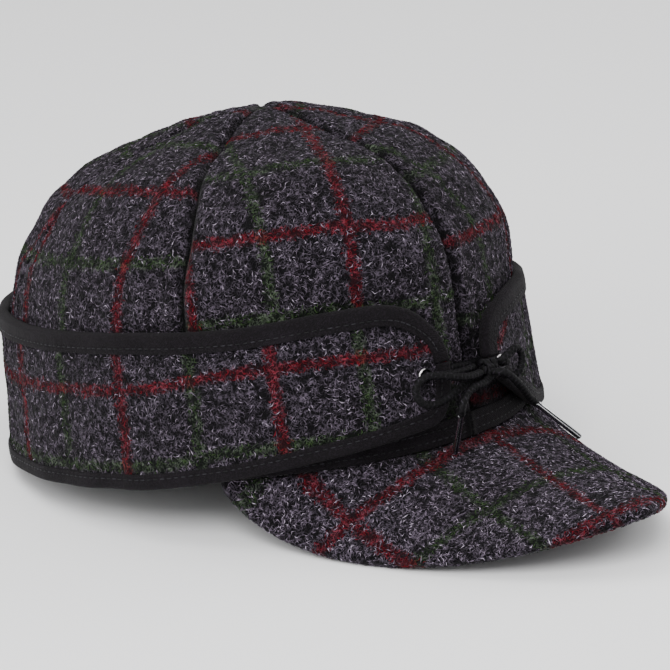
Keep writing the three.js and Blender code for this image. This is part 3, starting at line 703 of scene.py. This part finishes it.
def foldSection(wide, half, foot):  # (reach over the cloth, out) round the folded tape
    bulge, rounds = [], 9
    outside = half + tape["thick"]
    for i in range(rounds + 1):
        a = math.pi * i / rounds
        bulge.append((foot + (1 - abs(math.sin(a))) * outside * 0.55, outside * math.cos(a)))
    row = wide * tape["rowShare"]
    legs = [(wide, half), (wide - 0.15, outside - 0.12), (wide - 0.5, outside),
            (row + 0.7, outside + 0.03), (row, outside - tape["sunk"]), (row - 0.7, outside + 0.04),
            (row * 0.5, outside + 0.06)]
    mirrored = [(w, -o) for w, o in legs[::-1]]
    return legs + bulge + mirrored + [(-tape["gap"] * 0.6, -half), (-tape["gap"] * 0.6, half)]


def addStitches(name, centres, runs, outs):
    n = 6
    long, thick = tape["stitch"] / 2, tape["stitchThick"]
    rings = [(-1.0, 0.35, -0.28), (-0.6, 1.0, 0.03), (0.6, 1.0, 0.03), (1.0, 0.35, -0.28)]
    sides = np.cross(outs, runs)
    points = []
    for along, size, lift in rings:
        for k in range(n):
            a = 2 * math.pi * k / n
            points.append(centres + runs * along * long + outs * (lift + math.sin(a) * thick * size * 0.8)
                          + sides * math.cos(a) * thick * size)
    count, per = len(centres), len(rings) * n
    points = np.stack(points, 1).reshape(-1, 3)
    body = gridFaces(len(rings), n, ring=True, flip=True)
    ends = [np.arange(n)[None, :], (per - n + np.arange(n))[None, ::-1]]
    shift = (np.arange(count) * per)[:, None, None]
    faces = [(shift + f[None]).reshape(-1, f.shape[1]) for f in (body, *ends)]
    makePiece(name, settled(points), faces, thread)


def bandTape(upper):
    key = "High" if upper else "Low"
    width = tape["upper"] if upper else tape["lower"]
    s = alongBand(0.02, 90, 900)
    path = np.stack([s, wingEdge(s, key)], -1)
    tips = np.array([band["leftLow"][0], band["rightLow"][0]])
    path[[0, -1], 1] = tips + tape["tipUp" if upper else "tipDown"]
    along = np.concatenate([[0], np.cumsum(np.linalg.norm(np.diff(path, axis=0), axis=1))])
    at = np.linspace(0, along[-1], int(along[-1] / tape["step"]))
    s, z = np.interp(at, along, path[:, 0]), np.interp(at, along, path[:, 1])
    ds, dz = np.gradient(s), np.gradient(z)
    for _ in range(4):  # even out the direction round the tip
        ds, dz = (np.convolve(np.pad(q, 2, mode="edge"), [0.2] * 5, "valid") for q in (ds, dz))
    ds[0], dz[0] = 0, 1 if upper else -1
    ds[-1], dz[-1] = 0, -1 if upper else 1
    length = np.hypot(ds, dz)
    inS, inZ = (dz / length, -ds / length) if upper else (-dz / length, ds / length)
    wide = tape["lower"] + (width - tape["lower"]) * smoothStep(tipDistance(s), *tape["widenOver"])
    half = band["wall"] / 2 + tape["gap"]
    pucker = tape["pucker"] * np.sin(at * 2 * math.pi / tape["stitchEvery"])
    pucker = pucker + tape["wave"] * np.sin(at * 0.83 + 1)
    section = foldSection(1.0, half, 0)
    loops, maps = [], []
    sizes = [foldSection(w, half, -tape["gap"] - tape["thick"]) for w in wide]
    for j in range(len(section)):
        w = np.array([one[j][0] for one in sizes])
        out = np.array([one[j][1] for one in sizes])
        swell = np.where((w > 0.6) & (np.abs(out) > half + 0.2), np.sign(out) * pucker, 0)
        here = bandPoint(s + inS * w, z + inZ * w, 0)
        loops.append(bandPoint(s + inS * w, z + inZ * w, out + swell + bandSoft(here, s)))
        maps.append(np.stack([at, w + out], -1))
    points = np.stack(loops, 1)
    name = "upper" if upper else "lower"
    piece = makePiece(name + "_tape", settled(points), tubeFaces(*points.shape[:2]), tapeBlack,
                      {"cloth": np.stack(maps, 1)})
    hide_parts(name + "_binding")
    stop = np.arange(5, at[-1] - 5, tape["stitchEvery"])
    where = [np.interp(stop, at, q) for q in (s, z, inS, inZ, wide)]
    row = where[4] * tape["rowShare"]
    rs, rz = where[0] + where[2] * row, where[1] + where[3] * row
    lift = half + tape["thick"] - 0.02 + bandSoft(bandPoint(rs, rz, 0), rs)
    centre = bandPoint(rs, rz, lift)
    out = unit(bandPoint(rs, rz, lift + 1) - centre)
    way = 1 if upper else -1
    run = unit(bandPoint(rs - where[3] * way, rz + where[2] * way, lift) - centre)
    addStitches(name + "_stitches", centre, run, out)


def hemTape():
    t = np.linspace(0, 2 * math.pi, 260, endpoint=False)
    x0, y0 = oval(t, 0)
    at = np.concatenate([[0], np.cumsum(np.hypot(np.diff(x0), np.diff(y0)))])
    half = hat["wall"] / 2 + tape["gap"]
    section = foldSection(tape["hem"], half, -tape["gap"] - tape["thick"])
    loops, maps = [], []
    for w, out in section:
        x, y = oval(t, out - hat["wall"] / 2)
        loops.append(np.stack([x, y, w + 0 * x], -1))
        maps.append(np.stack([at, w + out + 0 * at], -1))
    points = np.stack(loops, 1)
    piece = makePiece("hem_tape", settled(points), tubeFaces(*points.shape[:2], closed=True),
                      tapeBlack, {"cloth": np.stack(maps, 1)})
    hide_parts("hem_binding")
    stop = np.arange(0, at[-1], tape["stitchEvery"])
    angle = np.tile(np.interp(stop, at, t), 2)
    height = tape["hem"] * np.repeat([tape["rowShare"], tape["lowRow"]], len(stop))

    def spot(a, lift):
        return np.stack([*oval(a, lift), height], -1)

    lift = tape["gap"] + tape["thick"] + 0.02
    middle = spot(angle, lift)
    run, out = unit(spot(angle + 0.001, lift) - middle), unit(spot(angle, 3) - middle)
    addStitches("hem_stitches", middle, run, out)


hemTape()
earBand()
bandTape(True)
bandTape(False)
print("cap: ear band and bound edges")

# visor: two wool covers; s runs -1..1 across, v from the rim to the front edge
visor = {
    "reach": 85.5, "end": math.radians(62), "seat": -3.0, "skin": 2.1, "gap": 0.3, "drop": -4.1,
    "slopeAhead": 11.8, "slopeAside": 69.0, "side": 1.3, "front": 1.15, "dish": 0.02,
    "rootTop": -1.3, "rootLift": 3.2, "rootOver": (2.0, 7.0),  # the seam stands up against the hem
    "roundAt": 3.4,  # mm from the edge where the covers start to turn in
    "lip": 0.25, "ridge": 0.22, "ridgeAt": 5.2, "ridgeWide": 1.3,
    "rumple": 0.25, "rumpleSize": 32, "rumpleFrom": (3, 14), "sideEnd": 0.985,
    "redAhead": (8.0, -108.0), "slant": 0.29,  # where the lengthwise red line starts, and how it leans
    "redAcross": -106.0, "bow": 0.0078, "bowFrom": -20.0,
    "halfRepeat": (28.0, 38.0), "halfRepeatAt": (-52.0, 5.0),
}


def visorMiddle(s, v):
    ax, ay = oval(visor["end"] * s, visor["seat"])
    cx, cy = oval(visor["end"], visor["seat"])
    turn = s * math.pi / 2
    ox = cx * np.sign(s) * np.abs(np.sin(turn)) ** visor["side"]
    ahead = hat["halfLength"] + visor["seat"] + cy + visor["reach"]
    oy = cy - ahead * np.maximum(np.cos(turn), 0) ** visor["front"]
    span = np.hypot(ox - ax, oy - ay)
    slope = np.radians(visor["slopeAhead"] + (visor["slopeAside"] - visor["slopeAhead"]) * s * s)
    drop = visor["drop"] - span * np.tan(slope) * v - visor["dish"] * 4 * v * (1 - v) * span
    return np.stack([ax + (ox - ax) * v, ay + (oy - ay) * v, drop], -1)


def visorCover(top):
    e = 0.01
    s = visor["sideEnd"] * np.sin(np.linspace(-0.5, 0.5, 110) * math.pi)[None, :]
    v = (1 - (1 - np.linspace(0, 1, 40)) ** 1.7)[:, None]
    s, v = s + 0 * v, v + 0 * s
    sc, vc = np.clip(s, -1 + e, 1 - e), np.clip(v, e, 1 - e)
    out = unit(np.cross(visorMiddle(sc, vc + e) - visorMiddle(sc, vc - e),
                        visorMiddle(sc + e, vc) - visorMiddle(sc - e, vc)))
    out = out * np.where(out[..., 2:] < 0, -1, 1)
    middle = visorMiddle(s, v)
    span = lengthAlong(middle, 0)
    edge = span[-1:] - span
    thick = visor["gap"] / 2 + visor["skin"]
    turnIn = np.clip(1 - edge / visor["roundAt"], 0, 1)
    rim = visor["gap"] / 2 + visor["lip"]
    outside = rim + (thick - rim) * np.sqrt(np.maximum(1 - turnIn ** 2.4, 0))
    ridge = visor["ridge"] * np.exp(-((edge - visor["ridgeAt"]) / visor["ridgeWide"]) ** 2)
    soft = rumple(middle, visor["rumpleSize"], 9) * smoothStep(edge, *visor["rumpleFrom"])
    side = 1 if top else -1
    outer = middle + out * (side * (outside + ridge) + (visor["rumple"] * soft if top else 0))[..., None]
    if top:
        need = np.clip(visor["rootTop"] - outer[..., 2], 0, visor["rootLift"])
        outer[..., 2] += need * (1 - smoothStep(span, *visor["rootOver"]))
    inner = middle + out * (side * visor["gap"] / 2)
    x, y = middle[..., 0], middle[..., 1]
    lean = smoothStep(x, visor["halfRepeatAt"][0], 0)
    across = x - (visor["redAhead"][0] + visor["slant"] * (y - visor["redAhead"][1])) * lean
    start = visor["redAcross"] + visor["bow"] * np.maximum(visor["bowFrom"] - x, 0) ** 2
    near, far = visor["halfRepeat"]
    repeat = 2 * (near + (far - near) * smoothStep(x, *visor["halfRepeatAt"]))
    cloth = np.stack([across / check["repeat"], (y - start) / repeat], -1)
    grids = [outer, inner] if top else [inner, outer]
    points = np.concatenate([g.reshape(-1, 3) for g in grids])
    name = "visor_top" if top else "visor_under"
    faces = [f[:, ::-1] for f in shellFaces(*outer.shape[:2])]
    piece = makePiece(name + "_wool", settled(points), faces, paintedLitVisorWool,
                      {"cloth": np.tile(cloth.reshape(-1, 2), (2, 1))})
    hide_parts(name)
    hairy = outer[:, ::-1] if top else outer
    lined = cloth[:, ::-1] if top else cloth
    perMm2 = hairs["visorTop" if top else "visorUnder"]
    hair = addNap(name + "_nap", hairy, lined, perMm2, 41 + top, material=paintedLitVisorNap)


visorCover(True)
visorCover(False)
print("cap: visor covers")

# lace: one cord behind the eyelets, and one each side for loop, knot and tail
lace = {"thick": 3.0, "knotAt": np.array([-3.6, -121.6, 25.6]), "knotSize": np.array([4.2, 3.5, 4.2]),
        "offKnot": 0.9, "around": 24, "step": 0.18, "carriers": 3, "plait": 1.7, "relief": 0.36,
        "endSize": 0.55, "endOver": 0.7,
        "leadOut": (-1.4, 0.6, 2.6, 4.6), "leadBow": 0.2,  # mm out along an eyelet's axis
        "leadEnd": (3.8, 2.1, 1.6),  # from the middle of the knot
        "crossTrim": (2.9, 5.2), "crossOut": 2.55, "crossUp": (24.8, 27.5)}
knot = {"wraps": ((0.10, -1.45, 3.2), (0.22, 1.35, 3.0), (-0.45, -0.1, 3.5)),  # tilt, shift and reach
        "wrapThick": 2.5, "wrapTurn": 0.97, "wrapFlat": 0.9, "coreThick": 4.6, "coreHalf": 2.9,
        "turnBack": [(-0.6, 1.7, -1.8), (1.7, 0.9, -0.9), (1.7, -1.1, -0.8), (-0.8, -2.1, -1.8)]}
eyelet = {"hole": 1.8, "rim": 2.8, "back": {"right": 9.3, "left": 5.0}, "right": 27.5, "left": 24.2,
          "proud": {"right": 0.35, "left": 1.0}, "roll": 0.75, "barrel": 0.45, "tuck": 0.2, "flange": 0.35}
aglet = {"radius": 1.15, "right": [(-22.7, -125.1, 14.5), (-17.0, -112.8, -1.9)],
         "left": [(11.6, -127.1, 9.8), (30.1, -128.0, -7.9)],
         "laceIn": (-3.0, -0.35, 1.2)}  # mm along the tip


def atKnot(p):
    d = np.array(p, float) - lace["knotAt"]
    reach = np.linalg.norm(d / lace["knotSize"])
    return lace["knotAt"] + d / reach + d / np.linalg.norm(d) * lace["offKnot"]


def intoTip(ends):
    a, b = np.array(ends, float)
    line = (b - a) / np.linalg.norm(b - a)
    return [a + line * along for along in aglet["laceIn"]]


loopRight = [
    atKnot((-9.7, -123.4, 25.7)), (-15.7, -124.8, 26.3), (-21.5, -124.9, 27.5), (-28.2, -123.8, 29.7),
    (-32.9, -121.8, 30.4), (-36.6, -120.4, 28.3), (-37.2, -119.8, 25.0), (-35.4, -120.0, 21.6),
    (-31.0, -120.6, 19.7), (-24.1, -121.2, 20.4), (-18.4, -121.2, 22.2), (-13.4, -120.4, 23.2),
    (-10.2, -120.4, 23.3), atKnot((-7.3, -120.6, 23.2))]
loopLeft = [
    atKnot((-1.0, -122.6, 26.6)), (1.0, -123.8, 27.7), (3.7, -124.4, 29.0), (6.7, -124.4, 30.2),
    (9.3, -124.3, 30.0), (10.9, -124.3, 27.8), (10.8, -124.2, 24.9), (9.6, -123.8, 22.2),
    (8.1, -122.6, 20.7), (5.6, -120.9, 21.0), atKnot((1.9, -120.2, 22.9))]
tailRight = [
    atKnot((-6.7, -123.8, 22.7)), (-11.1, -125.4, 22.4), (-16.1, -125.9, 22.3), (-19.9, -126.5, 21.0),
    (-22.5, -127.3, 19.3), *intoTip(aglet["right"])]
tailLeft = [
    atKnot((-4.2, -125.0, 25.1)), (-3.7, -127.4, 25.1), (-1.2, -128.6, 23.6), (2.2, -128.6, 20.3),
    (6.5, -127.9, 15.5), *intoTip(aglet["left"])]


def eyeletPlace(side):
    back = eyelet["back"][side]
    s = np.array(back if side == "left" else bandLength - back)
    z = eyelet[side]
    middle = bandPoint(s, z, 0)
    return middle, unit(bandPoint(s, z, 1) - middle)


def leadRoute(side):
    middle, axis = eyeletPlace(side)
    aside, back, up = lace["leadEnd"]
    end = atKnot(lace["knotAt"] + [aside if side == "left" else -aside, back, up])
    out = [middle + axis * far for far in lace["leadOut"]]
    bend = (out[-1] + end) / 2
    bend[1] = min(out[-1][1], end[1]) - lace["leadBow"]
    return [*out, bend, end]


def crossRoute():  # behind the wing tips, from the left one to the right one
    start, end = band["leftNose"] + lace["crossTrim"][0], band["rightNose"] - lace["crossTrim"][1]
    t = np.radians(np.linspace(start, end, 7))
    return list(np.stack([*oval(t, lace["crossOut"]), np.linspace(*lace["crossUp"], 7)], -1))


def framesAlong(path):  # two directions across it, which turn as little as they can
    run = unit(np.gradient(path, axis=0))
    side = np.cross(run[0], [0, 0, 1.0])
    sides = []
    for r in run:
        side = side - r * np.dot(side, r)
        side = side / np.linalg.norm(side)
        sides.append(side)
    sides = np.array(sides)
    return sides, np.cross(run, sides)


def braidedTube(route, thick):
    path, at = curveThrough(route, lace["step"])
    e1, e2 = framesAlong(path)
    a = np.linspace(0, 2 * math.pi, lace["around"], endpoint=False)[None, :]
    turn = at[:, None] * 2 * math.pi / lace["plait"]
    n = lace["carriers"]
    weave = np.maximum(np.cos(n * a + turn) ** 3, np.cos(n * a - turn) ** 3)
    radius = thick / 2 - lace["relief"] + lace["relief"] * weave
    ends = np.minimum(at, at[-1] - at)[:, None]
    grow = np.sqrt(np.clip(ends / lace["endOver"], 0, 1))
    radius = radius * (lace["endSize"] + (1 - lace["endSize"]) * grow)
    points = path[:, None] + (np.cos(a) * radius)[..., None] * e1[:, None]
    points = points + (np.sin(a) * radius)[..., None] * e2[:, None]
    return points, path, at, np.stack([weave, at[:, None] + 0 * weave], -1)


def addCord(name, route, nodes):
    points, path, at, plaits = braidedTube(route, lace["thick"])
    faces = tubeFaces(*points.shape[:2])
    piece = makePiece(name, settled(points, False), faces, braid, {"plait": plaits})
    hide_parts(*nodes)
    line = settled(path, False)
    at[-1] / 1000


def latheAbout(name, profile, middle, axis, material, node, around=48):
    axis = np.array(axis) / np.linalg.norm(axis)
    e1 = unit(np.cross(axis, [0.0, 0.1, 1.0]))
    e2 = np.cross(axis, e1)
    a = np.linspace(0, 2 * math.pi, around, endpoint=False)
    ring = np.cos(a)[:, None] * e1 + np.sin(a)[:, None] * e2
    points = np.stack([middle + axis * h + ring * r for r, h in profile])
    closed = profile[0] == profile[-1]
    if closed:
        points = points[:-1]
    maps = {"round": np.tile(np.stack([np.cos(a), np.sin(a)], -1), (len(points), 1))}
    faces = tubeFaces(*points.shape[:2], closed=closed)
    piece = makePiece(name, settled(points, False), faces, material, maps)
    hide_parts(node)
    return piece


def addEyelet(side):
    middle, axis = eyeletPlace(side)
    face, hole, rim = band["wall"] / 2 + eyelet["proud"][side], eyelet["hole"], eyelet["rim"]
    half, barrel, edge = (rim - hole) / 2, hole + eyelet["barrel"], rim - eyelet["tuck"]
    back = -face - eyelet["flange"]
    roll = [(hole + half - half * math.cos(a), face + eyelet["roll"] * math.sin(a))
            for a in np.linspace(0, math.pi, 12)]
    profile = roll + [(edge, face - 0.15), (barrel, face - 0.2), (barrel, -face), (edge, -face),
                      (edge, back), (hole, back)]
    profile.append(profile[0])
    latheAbout("eyelet_ring_" + side, profile, middle, axis, eyeletPaintedGlint, "eyelet_" + side)


def addAglet(side):
    a, b = np.array(aglet[side], float)
    long, r = float(np.linalg.norm(b - a)), aglet["radius"]
    profile = [(0.75, 0.0), (r * 1.02, 0.12), (r * 1.04, 0.5), (r * 0.94, 0.9), (r, 1.35), (r, 1.9),
               (r * 0.93, 2.3), (r, 2.75), (r, long * 0.9), (r * 0.97, long - 0.8), (r * 0.86, long - 0.3),
               (r * 0.6, long - 0.05), (0.25, long)]
    return latheAbout("aglet_tube_" + side, profile, a, b - a, paintedReflectionSteel, "aglet_" + side, around=40)


def addKnot():
    centre = lace["knotAt"]
    wraps = []
    for tilt, shift, wide in knot["wraps"]:
        a = np.linspace(0, 2 * math.pi * knot["wrapTurn"], 16)
        x = shift + np.sin(tilt) * np.cos(a) * wide
        y = -np.sin(a) * (wide - knot["wrapFlat"])
        wraps.append(centre + np.stack([x, y, np.cos(a) * wide * np.cos(tilt)], -1))
    core = [centre + np.array([x, 0.0, 0.0]) for x in (-knot["coreHalf"], 0.0, knot["coreHalf"])]
    points, faces, maps, start = [], [], [], 0
    for route, thick in [(core, knot["coreThick"])] + [(wrap, knot["wrapThick"]) for wrap in wraps]:
        body, _, _, plaits = braidedTube(route, thick)
        points.append(body.reshape(-1, 3))
        maps.append(plaits.reshape(-1, 2))
        faces += [f + start for f in tubeFaces(*body.shape[:2])]
        start += len(points[-1])
    piece = makePiece("knot_wraps", settled(np.concatenate(points), False), faces, braid,
                      {"plait": np.concatenate(maps)})
    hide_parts("bow_knot")
    return piece


for side in ("left", "right"):
    addEyelet(side)
tips = {side: addAglet(side) for side in ("left", "right")}
knotPiece = addKnot()
inner = lace["knotAt"]
addCord("bow_lace_right", [*loopRight, *(inner + np.array(knot["turnBack"])), *tailRight],
        ["bow_loop_right", "bow_tail_right"])
addCord("bow_lace_left", [*loopLeft, inner + [0, -1.0, 0.0], *tailLeft],
        ["bow_loop_left", "bow_tail_left"])
addCord("eyelet_lace", [*leadRoute("left")[::-1], *crossRoute(), *leadRoute("right")],
        ["lace_cross", "lace_lead_left", "lace_lead_right"])
print("cap: lace, knot, eyelets and tips")

# floor and light
studio = {
    "floor": colour(248, 248, 250), "floorPale": colour(252, 252, 252), "far": 6.0, "room": 0.9,
    "lights": {  # place, aim, size, watts
        "key_softbox": ((-0.9, -0.9, 1.3), (0, 0, 0.05), (1.0, 1.0), 27),
        "side_softbox": ((-1.4, 0.15, 0.65), (0, 0, 0.05), (0.9, 0.8), 8),
        "fill_softbox": ((1.3, -0.6, 0.7), (0, 0, 0.05), (1.0, 0.8), 8),
        "top_softbox": ((-0.2, 0.6, 1.5), (0, 0, 0.1), (1.0, 1.0), 8),
    },
}


def addStage():
    far = studio["far"]
    mesh = bpy.data.meshes.new("floor")
    mesh.from_pydata([(-far, -far, 0), (far, -far, 0), (far, far, 0), (-far, far, 0)], [], [(0, 1, 2, 3)])
    floor = bpy.data.objects.new("floor", mesh)
    bpy.context.scene.collection.objects.link(floor)
    material, t = newMaterial("paper_floor")
    paper = mixColours(t, noise(t, 3.0), studio["floor"], studio["floorPale"])
    finish(t, {"Base Color": paper, "Roughness": 0.9})
    mesh.materials.append(material)


def addLight(name, place, aim, size, power):
    data = bpy.data.lights.new(name, "AREA")
    data.shape = "RECTANGLE"
    data.size, data.size_y = size
    data.energy = power
    light = bpy.data.objects.new(name, data)
    bpy.context.scene.collection.objects.link(light)
    light.location = place
    light.rotation_euler = (Vector(aim) - Vector(place)).to_track_quat("-Z", "Y").to_euler()


def addWorld():
    world = bpy.data.worlds.new("soft_room")
    bpy.context.scene.world = world
    world.use_nodes = True
    world.node_tree.nodes.clear()
    t = Wire(world.node_tree)
    glow = t.node("ShaderNodeBackground", {}, {"Color": (1, 1, 1, 1), "Strength": studio["room"]})
    t.node("ShaderNodeOutputWorld", {}, {"Surface": glow})


addStage()
addWorld()
for name, light in studio["lights"].items():
    addLight(name, *light)

print("cap: done")
